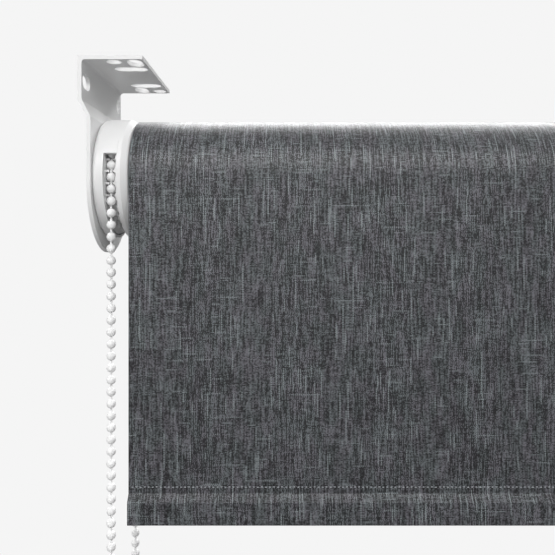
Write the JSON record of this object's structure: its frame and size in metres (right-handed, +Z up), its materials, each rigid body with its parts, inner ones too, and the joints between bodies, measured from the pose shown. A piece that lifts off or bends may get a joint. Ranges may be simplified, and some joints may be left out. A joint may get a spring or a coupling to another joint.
{
  "type": "roller blind",
  "caption": "Chain-operated roller blind with ceiling brackets, guarded chain wheel and wrap-spring clutch, sprung idle pin, linen-look cloth and weighted hem.",
  "frame": {"origin": "centre of the ceiling screw pattern, on the top face of the two bracket flanges", "axes": "+Z up, +X along the roller from the chain end to the idle end, room side towards -Y"},
  "size_m": [0.642, 0.0752, 0.4086],
  "materials": {
    "bracket_steel": "white powder coat, satin",
    "white_plastic": "white moulded plastic, light gloss",
    "clutch_plastic": "natural glass-filled nylon, matt",
    "chain_plastic": "white moulded acetal beads, light gloss",
    "spring_steel": "bright drawn wire",
    "zinc_steel": "bright zinc plate",
    "aluminium": "mill-finish extrusion",
    "cloth": "charcoal linen-look weave with pale slubs, matt",
    "hem_plug_plastic": "grey moulded plastic, matt",
    "adhesive": "double-sided tape"
  },
  "bodies": {
    "brackets": {"control_bracket": "bracket_steel", "idle_bracket": "bracket_steel", "core_rivets": "zinc_steel", "clutch_core": "clutch_plastic", "chain_guard": "white_plastic", "hub_washer": "zinc_steel", "hub_screw": "zinc_steel", "bracket_bush": "white_plastic", "chain_on_wheel": "chain_plastic", "bead_chain_front": "chain_plastic", "bead_chain_rear": "chain_plastic", "chain_connector": "chain_plastic"},
    "drive_wheel": {"chain_wheel": "white_plastic", "wrap_springs": "spring_steel"},
    "roller": {"drive_hub": "clutch_plastic", "tube_adapter": "clutch_plastic", "roller_tube": "aluminium", "adhesive_strip": "adhesive", "fabric_roll": "cloth", "idle_plug": "white_plastic", "idle_bearing": "clutch_plastic", "spring_seat": "clutch_plastic"},
    "end_pin": {"idle_pin": "zinc_steel", "pin_spring": "spring_steel"},
    "hem": {"hanging_cloth": "cloth", "hem_pocket": "cloth", "hem_bar": "aluminium", "hem_plug_left": "hem_plug_plastic", "hem_plug_right": "hem_plug_plastic"}
  },
  "joints": [
    {"name": "roller_spin", "type": "hinge", "parent": "brackets", "child": "roller", "pos_m": [0, -0.0045, -0.0584], "axis": [1, 0, 0], "range_deg": [-200, 2600]},
    {"name": "chain_wheel_spin", "type": "hinge", "parent": "brackets", "child": "drive_wheel", "pos_m": [-0.30625, -0.0045, -0.0584], "axis": [1, 0, 0], "range_deg": [-200, 2600], "deforming": ["chain_on_wheel"]},
    {"name": "hem_drop", "type": "slide", "parent": "brackets", "child": "hem", "axis": [0, 0, -1], "range_m": [-0.10472, 1.36136], "deforming": ["hanging_cloth"]},
    {"name": "end_pin_press", "type": "slide", "parent": "brackets", "child": "end_pin", "axis": [-1, 0, 0], "range_m": [0, 0.009], "stiffness_N_per_m": 400, "springref_m": -0.01, "deforming": ["pin_spring"]}
  ],
  "couplings": [
    {"joint": "roller_spin", "follows": "hem_drop", "rad_per_m": 33.333},
    {"joint": "chain_wheel_spin", "follows": "hem_drop", "rad_per_m": 33.333}
  ]
}
